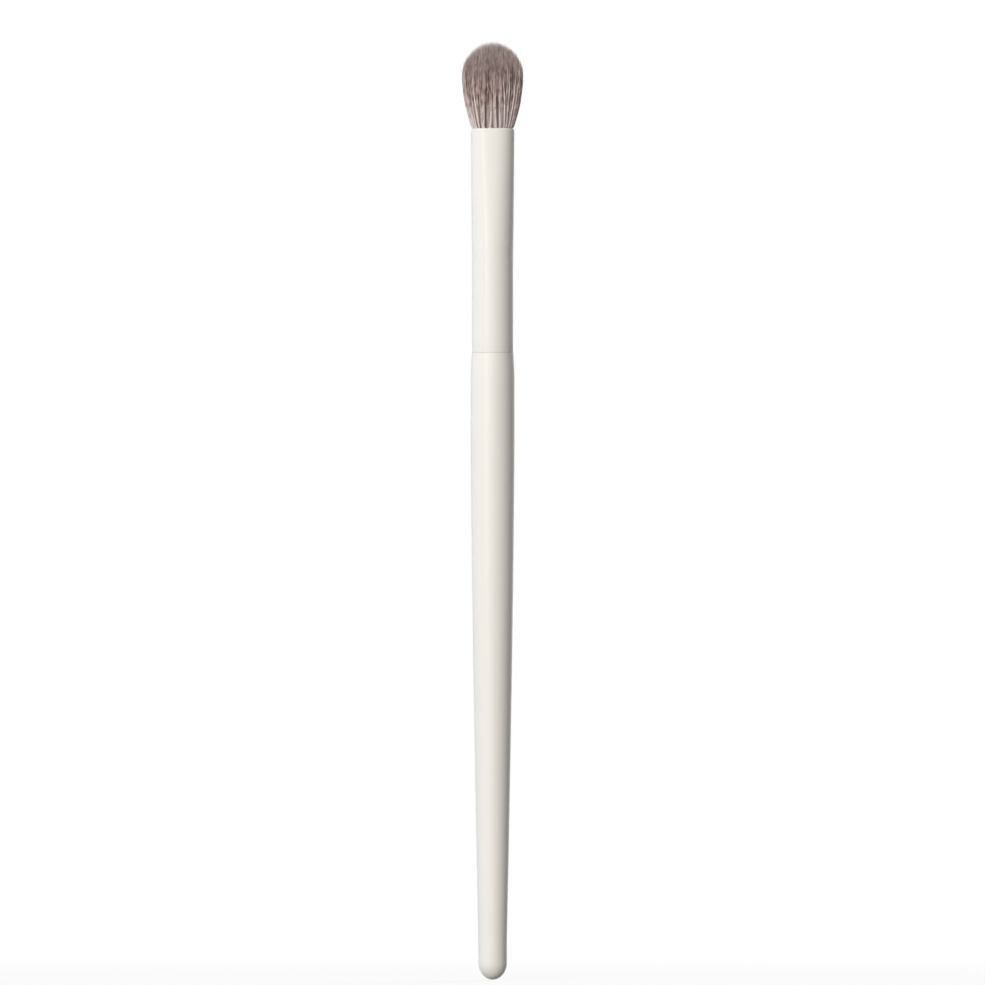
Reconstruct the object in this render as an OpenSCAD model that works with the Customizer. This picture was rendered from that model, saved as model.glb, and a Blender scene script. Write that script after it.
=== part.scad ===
// Eyeshadow brush, upright: +Z runs along the axis from the handle's rounded end to the tip of the tuft.
// The origin is the lowest point of the handle. X is the wide way of the tuft, Y the thin way. Millimetres.
// A turned wooden handle is glued by its tenon into a drawn metal ferrule. The ferrule is round at its foot
// and pressed to a soft oval at its mouth, where it holds the tuft by a resin plug and a thread binding.

/* [Handle] */
// Length of the handle in view, from its rounded end to the foot of the ferrule
handle_len = 117; // [90:1:140]
// Diameter of the straight land above the rounded end
tail_d = 5.35; // [4.6:0.05:6.4]
// Length of the straight land, where a stand or a holder takes the handle
tail_land = 4.7; // [3:0.1:8]
// Diameter of the belly, the thickest part of the handle
belly_d = 8.2; // [7.8:0.05:9.4]
// How far below the ferrule the long taper reaches the belly
belly_drop = 15; // [10:0.5:30]
// Length of the shoulder, where the belly draws in to the ferrule
shoulder_len = 5.5; // [3:0.5:9]
// How far the shoulder stands proud of the ferrule all round
shoulder_step = 0.12; // [0:0.01:0.3]
// Radius of the shoulder's softened edge
shoulder_edge = 0.2; // [0.05:0.05:0.3]

/* [Tenon] */
// Length of the tenon inside the ferrule
tenon_len = 14; // [12:0.5:17]
// Clearance between the tenon and the ferrule's bore
tenon_gap = 0.03; // [0.01:0.01:0.08]
// Depth of the grooves that key the glue
groove_depth = 0.35; // [0.2:0.05:0.6]
// Width of each glue groove
groove_w = 1.1; // [0.6:0.1:1.6]
// Distance from one glue groove to the next
groove_pitch = 3.4; // [2.4:0.1:3.8]
// Chamfer at the tenon's end
tenon_chamfer = 0.5; // [0.2:0.1:0.8]
// Space left round each ring of glue
glue_gap = 0.02; // [0.01:0.01:0.05]

/* [Ferrule] */
// Length of the ferrule
ferrule_len = 42; // [38:1:55]
// Outer diameter of the round barrel
ferrule_d = 7.7; // [7.2:0.05:8.6]
// Thickness of the tube wall
ferrule_wall = 0.25; // [0.2:0.05:0.4]
// Radius of the softened edge at the ferrule's foot
foot_edge = 0.12; // [0.04:0.02:0.18]
// Length of the pressed end, from the mouth down to the round barrel
press_len = 23; // [18:0.5:24]
// Outer width of the pressed mouth, below the lip
mouth_w = 8.15; // [7.8:0.05:9]
// Outer thickness of the pressed mouth, below the lip
mouth_t = 6; // [5.4:0.05:7]
// Width of the soft flat on each face of the mouth
mouth_flat = 2.6; // [1:0.1:4]
// Length of the lip that turns in at the mouth
lip_len = 0.6; // [0.3:0.05:1.2]
// How far the lip turns in
lip_turn = 0.08; // [0:0.01:0.15]

/* [Tuft] */
// Length of the tuft out of the ferrule
hair_len = 16; // [12:0.5:22]
// Full width of the tuft at its belly
tuft_w = 11.65; // [9:0.05:14]
// Full thickness of the tuft at its belly
tuft_t = 8.6; // [6.5:0.05:11]
// Height above the mouth where the fan of strands reaches full width
fan_h = 9.5; // [6:0.25:11]
// Height above the mouth of the outermost tips, where the dome begins
dome_h = 10.5; // [8:0.25:11.5]
// Number of strands
strands = 340; // [300:1:400]
// Thickness of a strand at the mouth
strand_root = 0.2; // [0.12:0.01:0.2]
// Thickness of a strand at the tuft's belly
strand_belly = 0.36; // [0.2:0.01:0.38]
// Clearance between the tuft and the lip
hair_gap = 0.04; // [0.02:0.01:0.1]

/* [Root] */
// How far below the mouth the packed root of the tuft begins
root_top = 1.5; // [1:0.1:3]
// Length of the packed root, down to its cut butt
root_len = 9; // [8:0.1:12]
// How far the binding draws the root in
waist_in = 0.6; // [0.45:0.05:0.8]
// How far the cut butt stays drawn in below the binding
butt_in = 0.35; // [0.2:0.05:0.5]
// Depth that each strand runs into the packed root
strand_sink = 0.6; // [0.3:0.1:1]

/* [Binding] */
// Diameter of the binding thread
thread_d = 0.4; // [0.3:0.05:0.45]
// Number of turns of the binding thread
thread_turns = 3; // [2:1:4]
// Rise of the thread in one turn
thread_pitch = 0.9; // [0.9:0.05:1.1]
// Space between the thread and the root
thread_gap = 0.05; // [0.04:0.01:0.08]
// Length of root below the binding, where the resin grips
butt_len = 2.6; // [2.2:0.1:3]

/* [Resin] */
// Depth of the resin cup round the butt
resin_grip = 1.6; // [1:0.1:2]
// Thickness of the resin under the butt
resin_floor = 2.4; // [1.5:0.1:3]
// Space left round the resin
resin_gap = 0.02; // [0.01:0.01:0.05]

/* [Hidden] */

// Counts of sides and steps
$fn = 96;
oval_sides = 64;
root_sides = 24;
end_steps = 10;
taper_steps = 18;
shoulder_steps = 6;
edge_steps = 4;
press_steps = 11;
lip_steps = 3;
groove_count = 3;
thread_sides = 6;
turn_steps = 24;
strand_sides = 3;

// Overrun that serves every lap and cut, and how far the pressed wall lies inside the barrel's
overrun = 0.3;
skin = 0.02;

// Shares and powers of the curves
taper_power = 1.4;
press_power = 1.3;
widen_power = 0.7;
fan_power = 1.7;
outer_share = 0.8;
outer_lift_shares = [0.34, 0.85];
inner_lift_shares = [0.85];
outer_girth_shares = [0.7, 1];
inner_girth_shares = [1];

// Heights along the brush
foot_z = handle_len;
press_z = foot_z + ferrule_len - press_len;
mouth_z = foot_z + ferrule_len;
root_z = mouth_z - root_top;
butt_z = root_z - root_len;
waist_z = butt_z + butt_len;
waist_len = thread_turns * thread_pitch + 2 * thread_d;

// Radii and half sizes
tail_r = tail_d / 2;
belly_r = belly_d / 2;
ferrule_r = ferrule_d / 2;
bore_r = ferrule_r - ferrule_wall;
tenon_r = bore_r - tenon_gap;
shoulder_r = ferrule_r + shoulder_step;
groove_r = tenon_r - groove_depth;
groove_span = (groove_count - 1) * groove_pitch + groove_w;
groove_z = foot_z + (tenon_len - groove_span) / 2;
lip_inset = ferrule_wall + lip_turn + hair_gap;
root_x = mouth_w / 2 - lip_inset;
root_y = mouth_t / 2 - lip_inset;
root_flat = mouth_flat / 2;
axes_low_x = root_x - strand_root / 2;
axes_low_y = root_y - strand_root / 2;
axes_high_x = (tuft_w - strand_belly) / 2;
axes_high_y = (tuft_t - strand_belly) / 2;
golden = 180 * (3 - sqrt(5));

// Half width, half thickness and half flat of the pressed tube at a share of the pressed length
function press_x(share) = ferrule_r + (mouth_w / 2 - ferrule_r) * pow(share, widen_power);
function press_y(share) = ferrule_r + (mouth_t / 2 - ferrule_r) * pow(share, press_power);
function press_flat(share) = mouth_flat / 2 * pow(share, press_power);

// Point of a soft oval: an ellipse whose long faces are drawn out flat about the middle
function oval_point(x, y, flat, angle) =
    let (c = cos(angle), s = sin(angle))
    [(x - flat) * c + flat * sign(c) * sqrt(abs(c)), y * s];

// Ring of oval points at a height, with no point on either axis
function oval_ring(x, y, flat, z, sides) =
    [for (i = [0:sides - 1]) let (p = oval_point(x, y, flat, (i + 1 / 2) * 360 / sides)) [p.x, p.y, z]];

// Ring of the pressed tube at a height, drawn in from its outer face
function tube_ring(z, inset) =
    let (share = max(0, min(1, (z - press_z) / (press_len - lip_len))))
    oval_ring(press_x(share) - inset, press_y(share) - inset, press_flat(share), z, oval_sides);

// Triangles of the band between each ring and the next, with the last ring joined to the first if it wraps
function band_faces(rings, sides, wrap) =
    [for (k = [0:rings - (wrap ? 1 : 2)], i = [0:sides - 1])
        let (a = k * sides, b = ((k + 1) % rings) * sides, j = (i + 1) % sides)
        each [[a + i, b + i, b + j], [a + i, b + j, a + j]]];

// Triangles that close a ring as a fan from its first point
function fan_faces(first, sides, up) =
    [for (i = [1:sides - 2]) up ? [first, first + i + 1, first + i] : [first, first + i, first + i + 1]];

// Closed skin through a list of rings, each with as many points as the first
module skin_over(rings, wrap = false) {
    sides = len(rings[0]);
    last = (len(rings) - 1) * sides;
    caps = wrap ? [] : concat(fan_faces(0, sides, false), fan_faces(last, sides, true));
    polyhedron([for (ring = rings) each ring], concat(band_faces(len(rings), sides, wrap), caps));
}

// Outline of the handle from its rounded end up to the seat of the ferrule
function end_outline() =
    [for (i = [0:end_steps]) let (a = 90 * i / end_steps) [tail_r * sin(a), tail_r * (1 - cos(a))]];

function taper_outline() =
    let (low = tail_r + tail_land, high = foot_z - belly_drop)
    [for (i = [0:taper_steps]) let (t = i / taper_steps)
        [tail_r + (belly_r - tail_r) * (1 - pow(1 - t, taper_power)), low + (high - low) * t]];

function shoulder_outline() =
    let (low = foot_z - shoulder_len, high = foot_z - shoulder_edge)
    [for (i = [0:shoulder_steps]) let (t = i / shoulder_steps)
        [belly_r - (belly_r - shoulder_r) * (1 - cos(90 * t)), low + (high - low) * t]];

function edge_outline() =
    [for (i = [1:edge_steps]) let (a = 90 * i / edge_steps)
        [shoulder_r - shoulder_edge * (1 - cos(a)), foot_z - shoulder_edge * (1 - sin(a))]];

// Outline of the tenon with its glue grooves and its chamfered end
function groove_outline(z) =
    [[tenon_r, z], [groove_r, z], [groove_r, z + groove_w], [tenon_r, z + groove_w]];

function tenon_outline() = concat(
    [[tenon_r, foot_z]],
    [for (i = [0:groove_count - 1]) each groove_outline(groove_z + i * groove_pitch)],
    [[tenon_r, foot_z + tenon_len - tenon_chamfer],
     [tenon_r - tenon_chamfer, foot_z + tenon_len],
     [0, foot_z + tenon_len]]);

module handle() {
    color([0.91, 0.895, 0.865])
    rotate_extrude()
    polygon(concat(end_outline(), taper_outline(), shoulder_outline(), edge_outline(), tenon_outline()));
}

// Rings of glue that fill the tenon's grooves and meet the ferrule's bore
module tenon_glue() {
    inner = groove_r + glue_gap;
    outer = bore_r - glue_gap;
    color([0.86, 0.8, 0.62])
    for (i = [0:groove_count - 1])
    translate([0, 0, groove_z + i * groove_pitch + glue_gap])
    rotate_extrude()
    translate([inner, 0])
    square([outer - inner, groove_w - 2 * glue_gap]);
}

// Round barrel of the ferrule, with its outer foot edge softened
module ferrule_barrel() {
    foot_arc = [for (i = [0:edge_steps]) let (a = 90 * i / edge_steps)
        [ferrule_r - foot_edge * (1 - sin(a)), foot_z + foot_edge * (1 - cos(a))]];
    rotate_extrude()
    polygon(concat([[bore_r, foot_z]], foot_arc, [[ferrule_r, press_z], [bore_r, press_z]]));
}

// Heights of the pressed wall's rings: the lap into the barrel, the press and the turned-in lip
function press_heights() = concat(
    [press_z - overrun],
    [for (i = [1:press_steps]) press_z + (press_len - lip_len) * i / press_steps]);

function lip_angles() = [for (i = [1:lip_steps]) 90 * i / lip_steps];

// Pressed wall, a loft from the round barrel to the soft oval mouth, closed on itself as one shell
module ferrule_press() {
    lip_z = mouth_z - lip_len;
    outside = concat(
        [for (z = press_heights()) tube_ring(z, skin)],
        [for (a = lip_angles())
            tube_ring(lip_z + lip_len * sin(a), skin + lip_turn * (1 - cos(a)))]);
    inside = concat(
        [for (z = press_heights()) tube_ring(z, ferrule_wall - skin)],
        [for (a = lip_angles())
            tube_ring(lip_z + lip_len * sin(a), ferrule_wall + lip_turn * (1 - cos(a)))]);
    skin_over(concat(outside, [for (i = [len(inside) - 1:-1:0]) inside[i]]), true);
}

module ferrule() {
    color([0.925, 0.915, 0.89]) {
        ferrule_barrel();
        ferrule_press();
    }
}

// Ring of the packed root at a height, drawn in from its full section
function root_ring(z, inset) =
    oval_ring(root_x - inset, root_y - inset, root_flat, z, root_sides);

// Packed root of the tuft: cut butt, waist for the binding, and the full section under the mouth
module packed_root() {
    skin_over([
        root_ring(butt_z, butt_in),
        root_ring(waist_z - thread_d, butt_in),
        root_ring(waist_z, waist_in),
        root_ring(waist_z + waist_len, waist_in),
        root_ring(waist_z + waist_len + thread_d, 0),
        root_ring(root_z, 0)]);
}

// Share of the fan's opening at a height above the mouth
function fan_share(h) = h <= 0 ? 0 : h >= fan_h ? 1 : 1 - pow(1 - h / fan_h, fan_power);

// Half width and half thickness of the bundle of strand axes at a height above the mouth
function fan_x(h) = axes_low_x + (axes_high_x - axes_low_x) * fan_share(h);
function fan_y(h) = axes_low_y + (axes_high_y - axes_low_y) * fan_share(h);

// Height of a strand's tip, by how far out it stands
function tip_height(out_share) = dome_h + (hair_len - dome_h) * sqrt(1 - out_share * out_share);

// Ring of one strand, turned to face outwards
function strand_ring(out_share, angle, h, girth) =
    let (x = out_share * cos(angle) * fan_x(h), y = out_share * sin(angle) * fan_y(h))
    [for (i = [0:strand_sides - 1]) let (a = angle + 360 * i / strand_sides)
        [x + girth / 2 * cos(a), y + girth / 2 * sin(a), mouth_z + h]];

// One strand: sunk in the packed root, straight to the mouth, fanned out to its belly and drawn to a point
module strand(out_share, angle) {
    tip_h = tip_height(out_share);
    outer = out_share > outer_share;
    lift_shares = outer ? outer_lift_shares : inner_lift_shares;
    girth_shares = outer ? outer_girth_shares : inner_girth_shares;
    rings = concat(
        [strand_ring(out_share, angle, -root_top - strand_sink, strand_root)],
        [strand_ring(out_share, angle, 0, strand_root)],
        [for (i = [0:len(lift_shares) - 1])
            strand_ring(out_share, angle, lift_shares[i] * tip_h,
                strand_root + (strand_belly - strand_root) * girth_shares[i])]);
    tip = [out_share * cos(angle) * fan_x(tip_h), out_share * sin(angle) * fan_y(tip_h), mouth_z + tip_h];
    top = (len(rings) - 1) * strand_sides;
    polyhedron(
        concat([for (ring = rings) each ring], [tip]),
        concat(
            fan_faces(0, strand_sides, false),
            band_faces(len(rings), strand_sides, false),
            [for (i = [0:strand_sides - 1]) [top + i, top + strand_sides, top + (i + 1) % strand_sides]]));
}

// The strands stand in a sunflower spiral, which spaces them evenly over the oval
module tuft() {
    color([0.6, 0.53, 0.51]) {
        packed_root();
        for (i = [0:strands - 1])
        strand(sqrt(i / (strands - 1)), i * golden);
    }
}

// Centre line of the binding thread, wound up the waist of the root
thread_inset = waist_in - thread_gap - thread_d / 2;
thread_low = waist_z + thread_d;

function thread_point(i) =
    let (a = (i + 1 / 2) * 360 / turn_steps)
    let (p = oval_point(root_x - thread_inset, root_y - thread_inset, root_flat, a))
    [p.x, p.y, thread_low + thread_pitch * i / turn_steps];

function unit(v) = v / norm(v);

thread_wound = [for (i = [0:thread_turns * turn_steps]) thread_point(i)];
thread_last = len(thread_wound) - 1;
thread_ends = [
    thread_wound[0] - thread_d * unit(thread_wound[1] - thread_wound[0]),
    thread_wound[thread_last] + thread_d * unit(thread_wound[thread_last] - thread_wound[thread_last - 1])];
thread_route = concat([thread_ends[0]], thread_wound, [thread_ends[1]]);

// Least space between one turn of the thread and the next, measured on points of its centre line
thread_space = min([for (i = [0:thread_last - turn_steps], j = [i + turn_steps / 2:thread_last])
    norm(thread_wound[i] - thread_wound[j])]) - thread_d;
echo(least_gap_between_turns = thread_space);

// Ring of the thread square to its route
function thread_ring(i) =
    let (
        before = thread_route[max(0, i - 1)],
        after = thread_route[min(len(thread_route) - 1, i + 1)],
        along = unit(after - before),
        side = unit(cross(along, [0, 0, 1])),
        up = cross(along, side))
    [for (k = [0:thread_sides - 1]) let (a = 360 * k / thread_sides)
        thread_route[i] + thread_d / 2 * (cos(a) * side + sin(a) * up)];

module root_binding() {
    color([0.93, 0.92, 0.88])
    skin_over([for (i = [0:len(thread_route) - 1]) thread_ring(i)]);
}

// Resin plug: bonded to the bore, with a cup that grips the butt of the tuft
module resin_plug() {
    low = butt_z - resin_floor;
    high = butt_z + resin_grip;
    wall = ferrule_wall + resin_gap;
    cup_x = root_x - butt_in + resin_gap;
    cup_y = root_y - butt_in + resin_gap;
    color([0.84, 0.74, 0.5])
    skin_over([
        tube_ring(low, wall),
        tube_ring(butt_z, wall),
        tube_ring(high, wall),
        oval_ring(cup_x, cup_y, root_flat, high, oval_sides),
        oval_ring(cup_x, cup_y, root_flat, butt_z - resin_gap, oval_sides)]);
}

handle();
tenon_glue();
ferrule();
resin_plug();
root_binding();
tuft();
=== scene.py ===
import math

import bpy
import numpy as np
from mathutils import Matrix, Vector


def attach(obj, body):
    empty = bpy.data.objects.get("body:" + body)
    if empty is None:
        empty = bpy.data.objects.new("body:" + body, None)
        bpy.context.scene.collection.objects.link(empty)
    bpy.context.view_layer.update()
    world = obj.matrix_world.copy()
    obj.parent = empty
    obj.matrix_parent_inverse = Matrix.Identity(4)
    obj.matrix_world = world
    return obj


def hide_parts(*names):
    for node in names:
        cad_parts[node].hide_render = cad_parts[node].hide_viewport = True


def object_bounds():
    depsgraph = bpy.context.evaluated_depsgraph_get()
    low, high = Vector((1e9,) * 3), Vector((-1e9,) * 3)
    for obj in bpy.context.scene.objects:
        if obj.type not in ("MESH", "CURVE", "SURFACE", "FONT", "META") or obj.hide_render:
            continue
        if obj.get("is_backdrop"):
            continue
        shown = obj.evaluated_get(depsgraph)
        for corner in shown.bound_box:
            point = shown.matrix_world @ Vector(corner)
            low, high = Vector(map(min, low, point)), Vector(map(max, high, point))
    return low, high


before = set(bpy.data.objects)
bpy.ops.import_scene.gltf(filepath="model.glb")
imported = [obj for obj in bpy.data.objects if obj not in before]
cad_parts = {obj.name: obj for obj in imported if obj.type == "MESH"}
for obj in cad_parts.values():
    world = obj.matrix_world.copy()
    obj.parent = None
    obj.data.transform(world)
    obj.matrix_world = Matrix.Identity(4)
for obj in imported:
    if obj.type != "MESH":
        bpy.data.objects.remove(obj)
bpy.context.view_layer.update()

mm = 0.001  # shapes are given in millimetres; places and depths in a material are in metres
print("frame loaded:", sorted(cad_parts))


# Puts points and faces into a mesh. Each map holds one (u, v) for each corner of each face
def buildPiece(name, points, quads, triangles, quadMap, triangleMap, mapName="surfaceMap", sharpAngle=None):
    corners = np.concatenate([quads.ravel(), triangles.ravel()]).astype(np.int32)
    starts = np.concatenate([np.arange(len(quads)) * 4, len(quads) * 4 + np.arange(len(triangles)) * 3])
    mesh = bpy.data.meshes.new(name)
    mesh.vertices.add(len(points))
    mesh.vertices.foreach_set("co", (points * mm).astype(np.float32).ravel())
    mesh.loops.add(len(corners))
    mesh.loops.foreach_set("vertex_index", corners)
    mesh.polygons.add(len(starts))
    mesh.polygons.foreach_set("loop_start", starts.astype(np.int32))
    mesh.polygons.foreach_set("use_smooth", np.ones(len(starts), dtype=bool))
    mesh.update(calc_edges=True)
    flatMap = np.concatenate([quadMap.reshape(-1, 2), triangleMap.reshape(-1, 2)])
    mesh.uv_layers.new(name=mapName).uv.foreach_set("vector", flatMap.astype(np.float32).ravel())
    if sharpAngle is not None:
        mesh.set_sharp_from_angle(angle=math.radians(sharpAngle))
    mesh.validate()
    piece = bpy.data.objects.new(name, mesh)
    bpy.context.scene.collection.objects.link(piece)
    return piece


# Skin through a stack of closed rings, shape (rings, sides, 3). Each quad joins two neighbours of one ring
# to the same two of the next. With wrap the last ring meets the first, otherwise both ends close on a point
def loftRings(name, rings, sharpAngle, wrap=False):
    count, sides = rings.shape[:2]
    points = rings.reshape(-1, 3)
    bands = np.arange(count if wrap else count - 1)[:, None]
    side = np.arange(sides)[None, :]
    above, beside = (bands + 1) % count, (side + 1) % sides
    quads = np.stack([bands * sides + side, bands * sides + beside,
                      above * sides + beside, above * sides + side], -1).reshape(-1, 4)
    u = np.stack([side, side + 1, side + 1, side], -1) / sides + 0 * bands[..., None]
    v = np.stack([bands, bands, bands + 1, bands + 1], -1) / (count - 1) + 0 * side[..., None]
    quadMap = np.stack([u, v], -1).reshape(-1, 4, 2)
    if wrap:
        noFaces, noMap = np.empty((0, 3), int), np.empty((0, 3, 2))
        return buildPiece(name, points, quads, noFaces, quadMap, noMap, sharpAngle=sharpAngle)
    poles = np.stack([rings[0].mean(0), rings[-1].mean(0)])
    low, high = len(points), len(points) + 1
    ring, after = np.arange(sides), (np.arange(sides) + 1) % sides
    last = (count - 1) * sides
    triangles = np.concatenate([np.stack([ring * 0 + low, after, ring], -1),
                                np.stack([ring * 0 + high, last + ring, last + after], -1)])
    around = np.stack([(ring + 0.5) / sides, (ring + 1) / sides, ring / sides], -1)
    ends = np.concatenate([around * 0, around * 0 + 1])
    triangleMap = np.stack([np.concatenate([around, around[:, [0, 2, 1]]]), ends], -1)
    points = np.concatenate([points, poles])
    return buildPiece(name, points, quads, triangles, quadMap, triangleMap, sharpAngle=sharpAngle)


# Stack of rings from the places of their points, shape (rings, sides), and the height of each ring
def stackRings(x, y, heights):
    return np.stack([x, y, heights[:, None] + 0 * x], -1)


# Soft oval: an ellipse of half sizes across and deep whose long faces are drawn out flat about the middle
def ovalPoint(across, deep, flat, turn):
    reach = np.cos(turn)
    return (across - flat) * reach + flat * np.sign(reach) * np.sqrt(np.abs(reach)), deep * np.sin(turn)


# Quarter turn from 0 to 90 degrees in even steps, without its start
def quarter(steps):
    return np.linspace(0, math.pi / 2, steps + 1)[1:]


# Full turn in even steps. The first is at a share of one step
def fullTurn(steps, first=0.0):
    return (np.arange(steps) + first) * 2 * math.pi / steps


class Wire:  # a socket that takes part in sums: each operator adds the Math node that it needs
    def __init__(self, tree, socket=None):
        self.tree = tree
        self.socket = socket

    def node(self, kind, settings=None, inputs=None, output=0):
        made = self.tree.nodes.new(kind)
        for name, value in (settings or {}).items():
            if name == "stops":  # a ramp's stops, as pairs of place and colour
                while len(made.color_ramp.elements) < len(value):
                    made.color_ramp.elements.new(0.5)
                for element, (place, colour) in zip(made.color_ramp.elements, value):
                    element.position, element.color = place, colour
            else:
                setattr(made, name, value)
        for name, value in (inputs or {}).items():
            if isinstance(value, Wire):
                self.tree.links.new(value.socket, made.inputs[name])
            else:
                made.inputs[name].default_value = value
        return Wire(self.tree, made.outputs[output] if len(made.outputs) else None)

    def maths(self, operation, first, second):
        return self.node("ShaderNodeMath", {"operation": operation}, {0: first, 1: second})

    def __add__(self, other):
        return self.maths("ADD", self, other)

    def __sub__(self, other):
        return self.maths("SUBTRACT", self, other)

    def __rsub__(self, other):
        return self.maths("SUBTRACT", other, self)

    def __mul__(self, other):
        return self.maths("MULTIPLY", self, other)

    __radd__ = __add__
    __rmul__ = __mul__


# An empty material, its nodes and the place on the object, from which each pattern is worked out
def startMaterial(name):
    material = bpy.data.materials.new(name)
    material.use_nodes = True
    material.node_tree.nodes.clear()
    wire = Wire(material.node_tree)
    return material, wire, wire.node("ShaderNodeTexCoord", output="Object")


def endMaterial(wire, shader):
    wire.node("ShaderNodeOutputMaterial", inputs={"Surface": shader})


def endPrincipled(wire, inputs):
    endMaterial(wire, wire.node("ShaderNodeBsdfPrincipled", inputs=inputs))


def mixColours(wire, share, first, second):
    return wire.node("ShaderNodeMix", {"data_type": "RGBA"}, {0: share, 6: first, 7: second}, output=2)


def noise(wire, place, scale, detail):
    return wire.node("ShaderNodeTexNoise", inputs={"Vector": place, "Scale": scale, "Detail": detail})


# Rises smoothly from 0 at the first value to 1 at the second
def ease(wire, value, first, second):
    return wire.node("ShaderNodeMapRange", {"interpolation_type": "SMOOTHSTEP"},
                     {"Value": value, "From Min": first, "From Max": second})


def bumpFrom(wire, height, depth):
    return wire.node("ShaderNodeBump", inputs={"Strength": 1.0, "Distance": depth, "Height": height})


# The place shrunk along the brush, which draws a pattern out that way
def drawnOut(wire, place, share):
    return wire.node("ShaderNodeMapping", inputs={"Vector": place, "Scale": (1.0, 1.0, share)})


def axisOf(wire, vector, axis):
    return wire.node("ShaderNodeSeparateXYZ", inputs={0: vector}, output=axis)


handleShape = {
    "length": 117.0, "tailWidth": 5.35, "tailRound": 3.2, "tailLand": 4.2, "bellyWidth": 8.2, "bellyDrop": 15.0,
    "taperPower": 1.4, "shoulderLength": 5.5, "shoulderWidth": 7.8, "shoulderEdge": 0.1,
    "tenonWidth": 7.14, "tenonLength": 14.0, "tenonChamfer": 0.5, "tenonFace": 0.4,
    "grooves": (118.55, 121.95, 125.35), "grooveWidth": 1.1, "grooveDepth": 0.35,
    "tailSteps": 20, "taperSteps": 70, "shoulderSteps": 24, "edgeSteps": 8, "around": 144, "sharpAngle": 50,
}


# Outline of the turned handle, as radius and height: a half ellipse, a straight land, a taper that eases into
# the belly as 1 - (1 - t) to a power, a shoulder that falls as 1 - cos, a round edge, and the grooved tenon
def handleOutline(shape):
    tail, belly, rounding = shape["tailWidth"] / 2, shape["bellyWidth"] / 2, shape["tailRound"]
    top, shoulder, edge = shape["length"], shape["shoulderWidth"] / 2, shape["shoulderEdge"]
    turn = quarter(shape["tailSteps"])
    radius, height = [tail * np.sin(turn)], [rounding * (1 - np.cos(turn))]
    t = np.linspace(0, 1, shape["taperSteps"])
    low, high = rounding + shape["tailLand"], top - shape["bellyDrop"]
    radius.append(tail + (belly - tail) * (1 - (1 - t) ** shape["taperPower"]))
    height.append(low + (high - low) * t)
    t = np.linspace(0, 1, shape["shoulderSteps"])
    low, high = top - shape["shoulderLength"], top - edge
    radius.append(belly - (belly - shoulder) * (1 - np.cos(t * math.pi / 2)))
    height.append(low + (high - low) * t)
    turn = quarter(shape["edgeSteps"])
    radius.append(shoulder - edge * (1 - np.cos(turn)))
    height.append(top - edge * (1 - np.sin(turn)))
    tenon, end, chamfer = shape["tenonWidth"] / 2, top + shape["tenonLength"], shape["tenonChamfer"]
    floor = tenon - shape["grooveDepth"]
    radius.append([tenon])
    height.append([top])
    for low in shape["grooves"]:
        high = low + shape["grooveWidth"]
        radius.append([tenon, floor, floor, tenon])
        height.append([low, low, high, high])
    radius.append([tenon, tenon - chamfer, shape["tenonFace"]])
    height.append([end - chamfer, end, end])
    return np.concatenate(radius), np.concatenate(height)


radius, height = handleOutline(handleShape)
turn = fullTurn(handleShape["around"])
x, y = radius[:, None] * np.cos(turn), radius[:, None] * np.sin(turn)
handlePiece = loftRings("handle_turned", stackRings(x, y, height), handleShape["sharpAngle"])
print("handle built:", len(handlePiece.data.polygons), "faces")


ferruleShape = {
    "foot": 117.0, "length": 42.0, "width": 7.7, "wall": 0.25, "footEdge": 0.1, "pressLength": 23.0,
    "mouthWidth": 8.15, "mouthThickness": 6.0, "mouthFlat": 3.6, "widenPower": 0.7, "pressPower": 1.3,
    "lipLength": 0.6, "lipInset": 0.08,
    "edgeSteps": 6, "barrelSteps": 7, "pressSteps": 63, "pressSpacing": 1.25, "lipSteps": 9, "rimSteps": 14,
    "around": 160, "sharpAngle": 60,
}


# Half sizes and half flat of the tube at a height: round below the press, then eased by powers to the mouth
def tubeSection(shape, height):
    pressFoot = shape["foot"] + shape["length"] - shape["pressLength"]
    share = np.clip((height - pressFoot) / (shape["pressLength"] - shape["lipLength"]), 0, 1)
    barrelHalf = shape["width"] / 2
    across = barrelHalf + (shape["mouthWidth"] / 2 - barrelHalf) * share ** shape["widenPower"]
    deep = barrelHalf + (shape["mouthThickness"] / 2 - barrelHalf) * share ** shape["pressPower"]
    return across, deep, shape["mouthFlat"] / 2 * share ** shape["pressPower"]


# Heights and insets of one trip up the outer face, over the rounded mouth and down the bore
def ferruleOutline(shape):
    foot, wall, edge, rim = shape["foot"], shape["wall"], shape["footEdge"], shape["wall"] / 2
    mouth, turnIn = foot + shape["length"], shape["lipInset"]
    pressFoot, lipFoot = mouth - shape["pressLength"], mouth - shape["lipLength"]
    low = quarter(shape["edgeSteps"])
    press = np.linspace(0, 1, shape["pressSteps"] + 1)[1:] ** shape["pressSpacing"]
    wallHeights = np.concatenate([np.linspace(foot + edge, pressFoot, shape["barrelSteps"] + 1)[1:],
                                  pressFoot + (lipFoot - pressFoot) * press])
    lip = np.linspace(0, 1, shape["lipSteps"] + 1)[1:] * math.pi / 2
    lipHeights = lipFoot + (mouth - rim - lipFoot) * np.sin(lip)
    lipInsets = turnIn * (1 - np.cos(lip))
    over = np.linspace(0, math.pi, shape["rimSteps"] + 1)[1:]
    height = np.concatenate([[foot], foot + edge * (1 - np.cos(low)), wallHeights, lipHeights,
                             mouth - rim + rim * np.sin(over)])
    inset = np.concatenate([[edge], edge * (1 - np.sin(low)), 0 * wallHeights, lipInsets,
                            turnIn + rim * (1 - np.cos(over))])
    back = slice(-2, None, -1)  # down again, without the ring where the lip meets the rim
    bore = np.concatenate([[foot], wallHeights])[::-1]
    return (np.concatenate([height, lipHeights[back], bore]),
            np.concatenate([inset, wall + lipInsets[back], wall + 0 * bore]))


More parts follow.
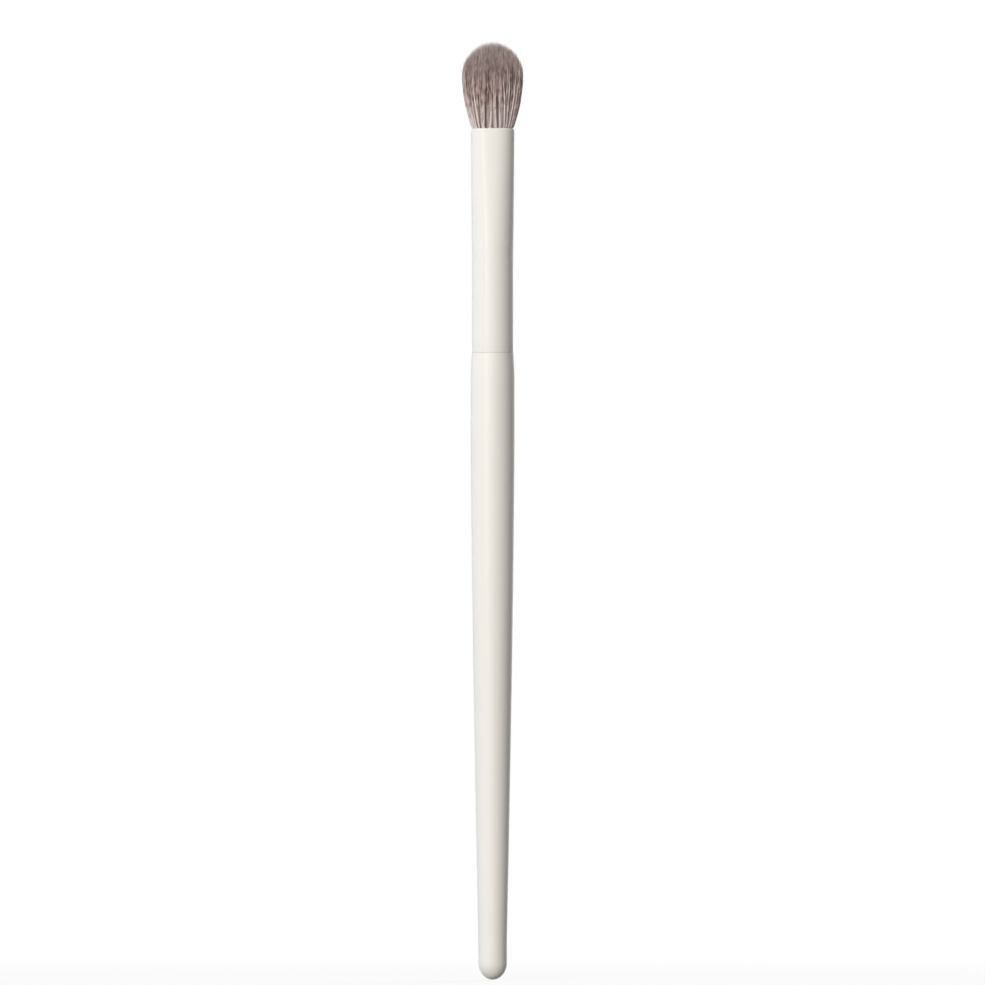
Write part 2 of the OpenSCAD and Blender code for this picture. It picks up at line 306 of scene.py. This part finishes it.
heights, insets = ferruleOutline(ferruleShape)
turn = fullTurn(ferruleShape["around"], 0.5)
across, deep, flat = (part[:, None] for part in tubeSection(ferruleShape, heights))
x, y = ovalPoint(across - insets[:, None], deep - insets[:, None], flat, turn)
ferrulePiece = loftRings("ferrule_drawn", stackRings(x, y, heights), ferruleShape["sharpAngle"], wrap=True)
print("ferrule built:", len(ferrulePiece.data.polygons), "faces")


lacquer = {
    "cream": (0.800, 0.776, 0.724, 1), "creamShade": (0.786, 0.761, 0.707, 1), "mottleScale": 55.0,
    "mottleShare": 0.6, "streakShare": 0.4, "streakDrawn": 0.03, "gloss": 0.3, "bareGloss": 0.25,
    "dullScale": 160.0, "dullEdge": (0.5, 0.75), "dullGloss": 0.08, "coat": 0.34, "specular": 0.27,
    "peelScale": 1100.0, "peelDepth": 0.000006, "streakBump": 1.5,
}
woodUnder = {
    "coatGloss": 0.22, "streakScale": 420.0, "colour": (0.60, 0.43, 0.27, 1), "grain": (0.46, 0.31, 0.18, 1),
    "metal": 0.0, "joint": 0.117, "fadeBelow": 0.00005, "fadeAbove": 0.00002,
}
tubeUnder = {
    "coatGloss": 0.05, "streakScale": 700.0, "colour": (0.80, 0.81, 0.82, 1), "grain": (0.62, 0.63, 0.65, 1),
    "metal": 1.0, "boreStart": (np.argmax(heights) + 2) / (len(heights) - 1), "fade": 0.02,
}


# Cream lacquer: a slow mottle in the colour, faint streaks along the brush and a fine orange peel in the coat.
# The bare share shows what lies under the lacquer where it ends
def creamLacquer(name, under, bareShare):
    material, wire, place = startMaterial(name)
    mottle = noise(wire, place, lacquer["mottleScale"], 3.0)
    streaks = noise(wire, drawnOut(wire, place, lacquer["streakDrawn"]), under["streakScale"], 4.0)
    peel = noise(wire, place, lacquer["peelScale"], 1.0)
    dull = ease(wire, noise(wire, place, lacquer["dullScale"], 4.0), *lacquer["dullEdge"])
    bare = bareShare(wire, place)
    shade = mottle * lacquer["mottleShare"] + streaks * lacquer["streakShare"]
    cream = mixColours(wire, shade, lacquer["cream"], lacquer["creamShade"])
    uncovered = mixColours(wire, streaks, under["colour"], under["grain"])
    endPrincipled(wire, {
        "Base Color": mixColours(wire, bare, cream, uncovered),
        "Roughness": dull * lacquer["dullGloss"] + lacquer["gloss"] + bare * lacquer["bareGloss"],
        "Metallic": bare * under["metal"] if under["metal"] else 0.0,
        "Coat Weight": (1 - bare) * lacquer["coat"], "Coat Roughness": under["coatGloss"],
        "Specular IOR Level": lacquer["specular"],
        "Normal": bumpFrom(wire, peel + streaks * lacquer["streakBump"], lacquer["peelDepth"])})
    return material


# The tenon is bare above the joint, inside the ferrule
def bareTenon(wire, place):
    joint = woodUnder["joint"]
    return ease(wire, axisOf(wire, place, 2), joint - woodUnder["fadeBelow"], joint + woodUnder["fadeAbove"])


# The bore of the tube is bare: it is the second half of the trip round the wall, which the map's v follows
def bareBore(wire, place):
    trip = axisOf(wire, wire.node("ShaderNodeUVMap", {"uv_map": "surfaceMap"}), 1)
    return ease(wire, trip, tubeUnder["boreStart"], tubeUnder["boreStart"] + tubeUnder["fade"])


handlePiece.data.materials.append(creamLacquer("creamLacquerOnWood", woodUnder, bareTenon))
ferrulePiece.data.materials.append(creamLacquer("creamLacquerOnTube", tubeUnder, bareBore))
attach(handlePiece, "root")
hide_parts("handle")
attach(ferrulePiece, "root")
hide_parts("ferrule")
print("lacquer on handle and ferrule")


glueLook = {"pale": (0.70, 0.55, 0.28, 1), "dark": (0.58, 0.42, 0.18, 1), "bubbleScale": 900.0}
resinLook = {"pale": (0.78, 0.63, 0.36, 1), "dark": (0.62, 0.44, 0.17, 1), "bubbleScale": 500.0}
setLook = {
    "cloudScale": 300.0, "cloudShare": 0.7, "pitShare": 0.3, "pitEdge": (0.05, 0.3), "pitDepth": 0.00004,
    "gloss": 0.18, "pitGloss": 0.2, "coat": 0.5,
}
threadLook = {
    "pale": (0.84, 0.82, 0.76, 1), "shade": (0.58, 0.55, 0.49, 1), "slant": 35, "plyScale": 130.0,
    "wander": 1.5, "plyShare": 0.6, "fuzzShare": 0.4, "fuzzScale": 5000.0, "fuzzBump": 0.5,
    "depth": 0.00003, "roughness": 0.85, "sheen": 0.3,
}


# Set glue or resin: clouded colour with small bubbles, which also dimple the surface
def setResin(name, look):
    material, wire, place = startMaterial(name)
    bubbles = wire.node("ShaderNodeTexVoronoi", inputs={"Vector": place, "Scale": look["bubbleScale"]},
                        output="Distance")
    pit = 1 - ease(wire, bubbles, *setLook["pitEdge"])
    clouds = noise(wire, place, setLook["cloudScale"], 3.0)
    shade = clouds * setLook["cloudShare"] + pit * setLook["pitShare"]
    endPrincipled(wire, {
        "Base Color": mixColours(wire, shade, look["pale"], look["dark"]),
        "Roughness": pit * setLook["pitGloss"] + setLook["gloss"], "Coat Weight": setLook["coat"],
        "Normal": bumpFrom(wire, 1 - pit, setLook["pitDepth"])})
    return material


# Twisted cotton: slanting stripes of the ply, fuzz in the colour, and a bump that follows the stripes
def cottonThread(name, look):
    material, wire, place = startMaterial(name)
    slanted = wire.node("ShaderNodeMapping", inputs={
        "Vector": place, "Rotation": (0.0, math.radians(look["slant"]), 0.0)})
    ply = wire.node("ShaderNodeTexWave", {"bands_direction": "X"}, {
        "Vector": slanted, "Scale": look["plyScale"], "Distortion": look["wander"], "Detail": 2.0}, output=1)
    fuzz = noise(wire, place, look["fuzzScale"], 3.0)
    shade = ply * look["plyShare"] + fuzz * look["fuzzShare"]
    endPrincipled(wire, {
        "Base Color": mixColours(wire, shade, look["shade"], look["pale"]),
        "Roughness": look["roughness"], "Sheen Weight": look["sheen"],
        "Normal": bumpFrom(wire, ply + fuzz * look["fuzzBump"], look["depth"])})
    return material


insideMaterials = {
    "tenon_glue": setResin("setGlue", glueLook),
    "resin_plug": setResin("castResin", resinLook),
    "root_binding": cottonThread("bindingCotton", threadLook),
}
for name, material in insideMaterials.items():
    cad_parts[name].data.materials.clear()
    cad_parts[name].data.materials.append(material)
print("materials on", ", ".join(insideMaterials))


tuft = {
    "mouth": 159.0, "length": 16.6, "rootHalf": (3.665, 2.59), "bellyHalf": (5.79, 4.22), "rootFlat": 1.8,
    "fanHeight": 9.5, "fanPower": 1.7, "domeHeight": 10.1, "sink": 2.1, "rim": 0.985,
    "lipLean": 0.2, "leanRise": 0.3, "leanFall": 3.0, "filaments": 7800, "girth": (0.062, 0.078, 0.02),
    "girthShares": (0.0, 0.45, 0.8, 1.0), "girthUpper": 0.9, "lastRing": 0.95,
    "liftShares": (0.0, 0.1, 0.26, 0.44, 0.63, 0.83, 1.0), "locks": 190, "lockScatter": 0.05, "wisps": 820,
    "bunch": 0.5, "bunchHeight": 9.0, "gather": 0.45, "gatherEnd": 0.5, "gatherPower": 8,
    "sway": 0.022, "swayPower": 1.5, "swayPhase": 6.28, "swayTurn": 4.0, "wispScatter": 0.035,
    "tipScatter": 0.024, "lockTone": 0.35, "wispTone": 0.95, "ownTone": 0.1, "toneEnds": (0.02, 0.98),
    "seed": 11,
}
hairShells = (  # name, and where in the disc its filaments stand: from, to
    ("hair_core", 0.0, 0.6),
    ("hair_middle", 0.6, 0.83),
    ("hair_outer", 0.83, 2.0),
)
streak = {
    "count": 36, "filaments": 24, "scatter": 0.32, "width": (0.14, 0.32), "taper": 0.6, "length": (4.5, 12.5),
    "ragged": 0.4, "wave": 0.07, "wavePhase": 6.28, "waveTurn": 1.1, "slant": 0.01,
    "girth": (0.066, 0.072, 0.02), "proud": 1.006, "depth": 0.03,
    "brightShare": 0.45, "brightTone": 0.85, "plainTone": 0.4, "ownTone": 0.1, "seed": 50302,
}


# Share of the fan's opening at a height over the mouth: it opens fast and settles at the belly
def fanShare(height):
    return 1 - (1 - np.clip(height / tuft["fanHeight"], 0, 1)) ** tuft["fanPower"]


# Half sizes of the bundle for a share of the fan's opening
def fanHalves(share):
    return (low + (high - low) * share for low, high in zip(tuft["rootHalf"], tuft["bellyHalf"]))


# Place of a point of the bundle, from its place in a unit disc, at a height over the mouth.
# Just over the lip the bundle leans out a little more than the fan, and the lean dies away with height
def bundlePlace(discX, discY, height):
    share, over = fanShare(height), np.clip(height, 0, None)
    lean = tuft["lipLean"] * (1 - np.exp(-over / tuft["leanRise"])) * np.exp(-over / tuft["leanFall"])
    across, deep = (half + lean for half in fanHalves(share))
    out, turn = np.hypot(discX, discY), np.arctan2(discY, discX)
    x, y = ovalPoint(across, deep, tuft["rootFlat"] * (1 - share), turn)
    return np.stack([out * x, out * y, tuft["mouth"] + height], -1)


# Heights over the mouth of each filament's rings: its root in the ferrule, then shares of its tip's height
def ringHeights(tipHeight):
    root = np.full((len(tipHeight), 1), -tuft["sink"])
    return np.concatenate([root, tipHeight[:, None] * tuft["liftShares"]], 1)


# Girths at each filament's rings: from the root to the belly, then down to the tip
def ringGirths(girth, count):
    root, belly, tip = girth
    share = np.concatenate([[0.0], tuft["liftShares"]])
    rings = np.interp(share, tuft["girthShares"], (root, belly, belly * tuft["girthUpper"], tip))
    return np.broadcast_to(rings, (count, len(share)))


# Filaments as three-sided stalks. The centre lines have shape (filaments, rings, 3), and the last ring is the
# tip. The map's u is the filament's tone, and its v runs from 0 at the root to 1 at the tip
def growFilaments(name, lines, girths, tones, spin):
    count, rings = lines.shape[0], lines.shape[1] - 1
    side = spin[:, None, None] + np.arange(3) * 2 * math.pi / 3
    swell = girths[:, :rings, None] / 2
    stalk = np.stack([lines[:, :rings, None, 0] + swell * np.cos(side),
                      lines[:, :rings, None, 1] + swell * np.sin(side),
                      lines[:, :rings, None, 2] + 0 * side * swell], -1)
    points = np.concatenate([stalk.reshape(count, rings * 3, 3), lines[:, rings:]], 1)
    stride = rings * 3 + 1
    first = np.arange(count)[:, None, None] * stride
    band, edge = np.arange(rings - 1)[:, None] * 3, np.arange(3)[None, :]
    after = (edge + 1) % 3
    oneQuads = np.stack([band + edge, band + after, band + 3 + after, band + 3 + edge], -1)
    top = (rings - 1) * 3
    oneTriangles = np.stack([top + edge[0], top + after[0], 0 * edge[0] + stride - 1], -1)
    oneTriangles = np.concatenate([oneTriangles, [[2, 1, 0]]])  # the last one closes the root
    v = np.concatenate([np.repeat(np.linspace(0, tuft["lastRing"], rings), 3), [1.0]])
    quadMap = np.stack(np.broadcast_arrays(tones[:, None, None, None], v[oneQuads]), -1)
    triangleMap = np.stack(np.broadcast_arrays(tones[:, None, None], v[oneTriangles]), -1)
    quads, triangles = first[..., None] + oneQuads, first + oneTriangles
    return buildPiece(name, points.reshape(-1, 3), quads.reshape(-1, 4), triangles.reshape(-1, 3),
                      quadMap, triangleMap, mapName="filamentMap")


dice = np.random.default_rng(tuft["seed"])
count = tuft["filaments"]
out, turn = np.sqrt(dice.random(count)), dice.random(count) * 2 * math.pi
discX, discY = out * np.cos(turn), out * np.sin(turn)


# For each filament, the number of the middle that it stands nearest to
def nearest(middleX, middleY):
    return np.argmin((discX[:, None] - middleX) ** 2 + (discY[:, None] - middleY) ** 2, axis=1)


# The locks' middles lie on a spiral that turns by the golden angle, and the wisps' middles lie at random
lockOut = np.sqrt((np.arange(tuft["locks"]) + 0.5) / tuft["locks"])
lockTurn = np.arange(tuft["locks"]) * math.pi * (3 - math.sqrt(5))
lockTurn = lockTurn + dice.normal(0, tuft["lockScatter"], tuft["locks"])
lockX, lockY = lockOut * np.cos(lockTurn), lockOut * np.sin(lockTurn)
lock = nearest(lockX, lockY)
wispOut, wispTurn = np.sqrt(dice.random(tuft["wisps"])), dice.random(tuft["wisps"]) * 2 * math.pi
wispX, wispY = wispOut * np.cos(wispTurn), wispOut * np.sin(wispTurn)
wisp = nearest(wispX, wispY)

# The tips end on a dome, an ellipse over the disc. Each wisp stops a little short of it, and each filament too
tipHeight = tuft["domeHeight"] + (tuft["length"] - tuft["domeHeight"]) * np.sqrt(1 - np.minimum(out, 1) ** 2)
wispShort = tuft["wispScatter"] * dice.random(tuft["wisps"])[wisp] ** 2
ownShort = tuft["tipScatter"] * dice.random(count) ** 2
tipHeight *= 1 - wispShort - ownShort
height = ringHeights(tipHeight)

# Each filament is drawn to the middle of its lock near the mouth and let go by degrees higher up, where it
# closes on the middle of its wisp instead. It sways a little on the way
rise = np.clip(height / tuft["bunchHeight"], 0, 1)
pull = tuft["bunch"] * (1 - rise * rise * (3 - 2 * rise))
along = np.clip(height / tipHeight[:, None], 0, 1)
close = tuft["gather"] * along ** 2 * (1 - tuft["gatherEnd"] * along ** tuft["gatherPower"])
sway = tuft["sway"] * along ** tuft["swayPower"]


# Place in the disc at each ring, one axis at a time
def drawnTogether(own, lockMiddle, wispMiddle):
    swayed = sway * np.sin(dice.random(count)[:, None] * tuft["swayPhase"] + along * tuft["swayTurn"])
    toLock, toWisp = (lockMiddle[lock] - own)[:, None], (wispMiddle[wisp] - own)[:, None]
    return own[:, None] + pull * toLock + close * toWisp + swayed


placeX = drawnTogether(discX, lockX, wispX)
placeY = drawnTogether(discY, lockY, wispY)
reach = np.maximum(1, np.hypot(placeX, placeY) / tuft["rim"])
lines = bundlePlace(placeX / reach, placeY / reach, height)
girths = ringGirths(tuft["girth"], count)
lockTone, wispTone = dice.random(tuft["locks"]), dice.random(tuft["wisps"])
tones = (0.5 + tuft["lockTone"] * (lockTone[lock] - 0.5) + tuft["wispTone"] * (wispTone[wisp] - 0.5)
         + tuft["ownTone"] * dice.normal(0, 1, count))
tones = np.clip(tones, *tuft["toneEnds"])
spin = dice.random(count) * 2 * math.pi

hairPieces = []
for name, low, high in hairShells:
    chosen = (out >= low) & (out < high)
    hairPieces.append(growFilaments(name, lines[chosen], girths[chosen], tones[chosen], spin[chosen]))
    print(name, "built:", int(chosen.sum()), "filaments")


# Pale streaks lie on the outside of the bundle: wide at the mouth, thinning and ending one by one higher up
dice = np.random.default_rng(streak["seed"])
streaks = streak["count"]
streakTurn = np.arange(streaks) + 0.5 + dice.uniform(-streak["scatter"], streak["scatter"], streaks)
streakTurn = streakTurn * 2 * math.pi / streaks
streakWidth = dice.uniform(*streak["width"], streaks)
streakLength = dice.uniform(*streak["length"], streaks)
streakSlant = dice.normal(0, streak["slant"], streaks)
bright = dice.random(streaks) < streak["brightShare"]
streakTone = np.where(bright, streak["brightTone"], streak["plainTone"])
owner = np.repeat(np.arange(streaks), streak["filaments"])
count = len(owner)
offset = dice.uniform(-1, 1, count)
height = ringHeights(streakLength[owner] * (1 - streak["ragged"] * dice.random(count)))
over = np.clip(height, 0, None)
rise = over / streakLength[owner][:, None]
halfWidth = streakWidth[owner][:, None] / 2 * (1 - streak["taper"] * rise)
middle = streakTurn[owner][:, None] + streakSlant[owner][:, None] * over
across, deep = fanHalves(fanShare(height))
arc = np.hypot(across * np.sin(middle), deep * np.cos(middle))
phase = dice.random(streaks)[owner][:, None] * streak["wavePhase"]
wave = streak["wave"] * rise * np.sin(phase + height * streak["waveTurn"])
turn = middle + (offset[:, None] * halfWidth + wave) / arc
outside = streak["proud"] - streak["depth"] * dice.random(count)[:, None]
lines = bundlePlace(outside * np.cos(turn), outside * np.sin(turn), height)
girths = ringGirths(streak["girth"], count)
tones = np.clip(streakTone[owner] + dice.normal(0, streak["ownTone"], count), *tuft["toneEnds"])
palePiece = growFilaments("hair_pale", lines, girths, tones, dice.random(count) * 2 * math.pi)
print("hair_pale built:", count, "filaments")


# Packed root inside the ferrule: cut butt, waist for the binding, and the full section under the mouth.
# Each station is a height and how far the side lies in there
rootShape = {
    "stations": ((148.5, 0.35), (150.7, 0.35), (151.1, 0.6), (154.6, 0.6), (155.0, 0.0), (157.5, 0.0)),
    "across": 3.705, "deep": 2.63, "levels": 40, "around": 96, "sharpAngle": 50,
}
station, drawn = np.array(rootShape["stations"]).T
between = np.linspace(station[0], station[-1], rootShape["levels"])[1:-1]
levels = np.sort(np.concatenate([station, between]))
inset = np.interp(levels, station, drawn)[:, None]
turn = fullTurn(rootShape["around"], 0.5)
x, y = ovalPoint(rootShape["across"] - inset, rootShape["deep"] - inset, tuft["rootFlat"], turn)
rootPiece = loftRings("hair_root", stackRings(x, y, levels), rootShape["sharpAngle"])
print("hair_root built")


hairColours = {
    "dark": (0.170, 0.114, 0.102, 1), "taupe": (0.466, 0.338, 0.305, 1), "light": (0.725, 0.575, 0.535, 1),
    "foot": (0.600, 0.515, 0.490, 1), "tip": (0.420, 0.315, 0.290, 1), "midPale": (0.690, 0.598, 0.572, 1),
    "pale": (0.825, 0.762, 0.744, 1),
}
taupeLook = {
    "stops": ((0.0, "dark"), (0.5, "taupe"), (1.0, "light")), "foot": "foot", "tip": "tip", "tipFrom": 0.75,
}
paleLook = {
    "stops": ((0.2, "taupe"), (0.45, "midPale"), (0.85, "pale")), "foot": "pale", "tip": "midPale",
    "tipFrom": 0.55,
}
filamentLook = {  # toneShade and dappleShade: what each counts for at the mouth, and how much more higher up
    "middleShade": 0.65, "toneShade": (0.32, 0.94), "dappleShade": (0.4, 2.5), "upper": (0.35, 0.65),
    # One pair below is painted shade: how far the upper part of each filament is darkened, and from where to
    # where along it
    "driftShade": 0.25, "paintedShade": 0.15, "paintedShadeFrom": (0.6, 0.9), "footShare": 0.35, "footFade": (0.4, 0.7),
    "tipShare": 0.35, "driftScale": 420.0, "dappleScale": 2600.0, "dappleDrawn": 0.3,
    "gloss": 0.42, "driftGloss": 0.2, "specular": 0.35, "sheen": 0.15,
}


# Filament: its own tone runs its whole length, with a paler foot, a greyer tip and a slow drift of colour. The
# upper part of each filament also carries painted shade, which darkens it
def filamentMaterial(name, kind):
    look = filamentLook
    material, wire, place = startMaterial(name)
    mapped = wire.node("ShaderNodeUVMap", {"uv_map": "filamentMap"})
    tone, along = axisOf(wire, mapped, 0), axisOf(wire, mapped, 1)
    drift = noise(wire, place, look["driftScale"], 2.0)
    dapple = noise(wire, drawnOut(wire, place, look["dappleDrawn"]), look["dappleScale"], 1.0)
    upper = ease(wire, along, *look["upper"])
    toneShade, dappleShade = (upper * more + some for some, more in (look["toneShade"], look["dappleShade"]))
    # The term taken off before the middle is painted shade: it darkens the upper part of every filament
    shade = ((tone - 0.5) * toneShade + (drift - 0.5) * look["driftShade"] + (dapple - 0.5) * dappleShade
             - ease(wire, along, *look["paintedShadeFrom"]) * look["paintedShade"] + look["middleShade"])
    stops = [(position, hairColours[colour]) for position, colour in kind["stops"]]
    colour = wire.node("ShaderNodeValToRGB", {"stops": stops}, {0: shade})
    footShare = (1 - ease(wire, along, *look["footFade"])) * look["footShare"]
    colour = mixColours(wire, footShare, colour, hairColours[kind["foot"]])
    tipShare = ease(wire, along, kind["tipFrom"], 1.0) * look["tipShare"]
    colour = mixColours(wire, tipShare, colour, hairColours[kind["tip"]])
    endPrincipled(wire, {
        "Base Color": colour, "Roughness": drift * look["driftGloss"] + look["gloss"],
        "Specular IOR Level": look["specular"], "Sheen Weight": look["sheen"]})
    return material


packedLook = {
    "dark": "dark", "pale": "light", "grainDrawn": 0.04, "grainScale": 9000.0,
    "depth": 0.00003, "roughness": 0.6,
}


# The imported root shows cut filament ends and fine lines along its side
def packedRootMaterial(name, look):
    material, wire, place = startMaterial(name)
    grain = noise(wire, drawnOut(wire, place, look["grainDrawn"]), look["grainScale"], 2.0)
    endPrincipled(wire, {
        "Base Color": mixColours(wire, grain, hairColours[look["dark"]], hairColours[look["pale"]]),
        "Roughness": look["roughness"], "Normal": bumpFrom(wire, grain, look["depth"])})
    return material


taupeFilament = filamentMaterial("taupeFilament", taupeLook)
paleFilament = filamentMaterial("paleFilament", paleLook)
rootPiece.data.materials.append(packedRootMaterial("packedFilaments", packedLook))
for piece in hairPieces:
    piece.data.materials.append(taupeFilament)
palePiece.data.materials.append(paleFilament)
for piece in (*hairPieces, palePiece, rootPiece):
    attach(piece, "root")
    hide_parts("tuft")
print("tuft dressed")


# From here on in metres
floorSet = {
    "radius": 1.6, "hole": 0.002, "rings": 60, "around": 96, "top": -0.00002, "depth": 0.002, "sharpAngle": 40,
    "tone": (0.96, 0.96, 0.96, 1), "toneShade": (0.9, 0.9, 0.9, 1), "bounce": (0.09, 0.079, 0.072, 1),
    "speckleScale": 260.0, "speckleShare": 0.1, "clearFrom": (0.05, 0.45), "whiteNear": 0.8, "whiteMore": 0.2,
}
worldSet = {"fill": 0.035, "tint": (1.0, 0.90, 0.83, 1)}
white = (1, 1, 1, 1)
lampAim = (0, 0, 0.09)  # near the middle of the brush

# Each softbox: name, azimuth from the camera's side, distance, middle height, width, height, radiance, tint,
# whether it lights the brush, and whether it shows in the gloss
softboxes = (
    ("keyBox", -22.0, 2.00, 0.60, 1.70, 1.10, 8.4, (1.0, 0.986, 0.972), True, False),
    ("sideBox", -98.0, 1.20, 0.40, 2.20, 0.75, 1.13, (0.67, 0.80, 1.0), True, True),
    ("farBox", 156.0, 1.00, 0.40, 0.42, 0.90, 9.0, (1.0, 0.99, 0.97), True, False),
    ("topBox", 0.0, 0.02, 1.50, 0.60, 0.60, 3.6, (1.0, 0.96, 0.93), True, False),
    ("stripBox", -35.5, 1.20, 0.45, 0.12, 0.90, 4.5, (1.0, 1.0, 0.99), False, True),
)
cameraSet = {
    "distance": 2.0, "height": 0.03, "aside": -0.00003, "pitch": 1.7459, "lens": 391.31, "sensor": 36.0,
    "near": 0.05, "far": 20.0,
}


# 1 for a ray that looks, by the eye, by gloss or through glass, and 0 for one that brings light
def looking(wire):
    kinds = ("Is Camera Ray", "Is Glossy Ray", "Is Transmission Ray")
    camera, glossy, through = (wire.node("ShaderNodeLightPath", output=kind) for kind in kinds)
    return wire.maths("MINIMUM", camera + glossy + through, 1.0)


disc = np.linspace(floorSet["hole"], floorSet["radius"], floorSet["rings"])[:, None]
turn = fullTurn(floorSet["around"])
rings = stackRings(disc * np.cos(turn), disc * np.sin(turn), np.full(len(disc), floorSet["top"])) / mm
under = rings[[0, -1]] - [0, 0, floorSet["depth"] / mm]
floorPiece = loftRings("floor", np.concatenate([under, rings[::-1]]), floorSet["sharpAngle"])
floorPiece.data.flip_normals()
floorPiece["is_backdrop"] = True

# The floor is pale and takes the shadow near the brush; further out, eyes and gloss see plain white
material, wire, place = startMaterial("studioFloor")
away = wire.node("ShaderNodeVectorMath", {"operation": "LENGTH"}, {0: place}, output=1)
seen = looking(wire)
clear = ease(wire, away, *floorSet["clearFrom"])
speckle = noise(wire, place, floorSet["speckleScale"], 2.0) * floorSet["speckleShare"]
pale = mixColours(wire, speckle, floorSet["tone"], floorSet["toneShade"])
matt = wire.node("ShaderNodeBsdfDiffuse", inputs={"Color": mixColours(wire, seen, floorSet["bounce"], pale)})
plain = wire.node("ShaderNodeEmission", inputs={"Color": white, "Strength": 1.0})
whiteShare = seen * (clear * floorSet["whiteMore"] + floorSet["whiteNear"])
endMaterial(wire, wire.node("ShaderNodeMixShader", inputs={0: whiteShare, 1: matt, 2: plain}))
floorPiece.data.materials.append(material)

world = bpy.data.worlds.new("studioWorld")
world.use_nodes = True
world.node_tree.nodes.clear()
wire = Wire(world.node_tree)
fill = wire.node("ShaderNodeBackground", inputs={"Color": worldSet["tint"], "Strength": worldSet["fill"]})
plain = wire.node("ShaderNodeBackground", inputs={"Color": white, "Strength": 1.0})
backdrop = wire.node("ShaderNodeMixShader", inputs={0: looking(wire), 1: fill, 2: plain})
wire.node("ShaderNodeOutputWorld", inputs={"Surface": backdrop})
bpy.context.scene.world = world

for name, azimuth, distance, middle, width, tall, radiance, tint, lights, shows in softboxes:
    lamp = bpy.data.lights.new(name, "AREA")
    lamp.shape = "RECTANGLE"
    lamp.size, lamp.size_y = width, tall
    lamp.energy = radiance * math.pi * width * tall  # an even emitter of that radiance
    lamp.color = tint
    box = bpy.data.objects.new(name, lamp)
    bpy.context.scene.collection.objects.link(box)
    angle = math.radians(azimuth)
    box.location = (distance * math.sin(angle), -distance * math.cos(angle), middle)
    box.rotation_mode = "QUATERNION"
    box.rotation_quaternion = (Vector(lampAim) - box.location).to_track_quat("-Z", "Y")
    box.visible_camera, box.visible_diffuse, box.visible_glossy = False, lights, shows

lens = bpy.data.cameras.new("photoCamera")
lens.sensor_width = cameraSet["sensor"]
lens.lens = cameraSet["lens"]
lens.clip_start, lens.clip_end = cameraSet["near"], cameraSet["far"]
camera = bpy.data.objects.new("photoCamera", lens)
bpy.context.scene.collection.objects.link(camera)
camera.location = (cameraSet["aside"], -cameraSet["distance"], cameraSet["height"])
camera.rotation_euler = (math.radians(90 + cameraSet["pitch"]), 0.0, 0.0)
bpy.context.scene.camera = camera
bpy.context.scene.view_settings.view_transform = "Standard"
print("studio set")

low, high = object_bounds()
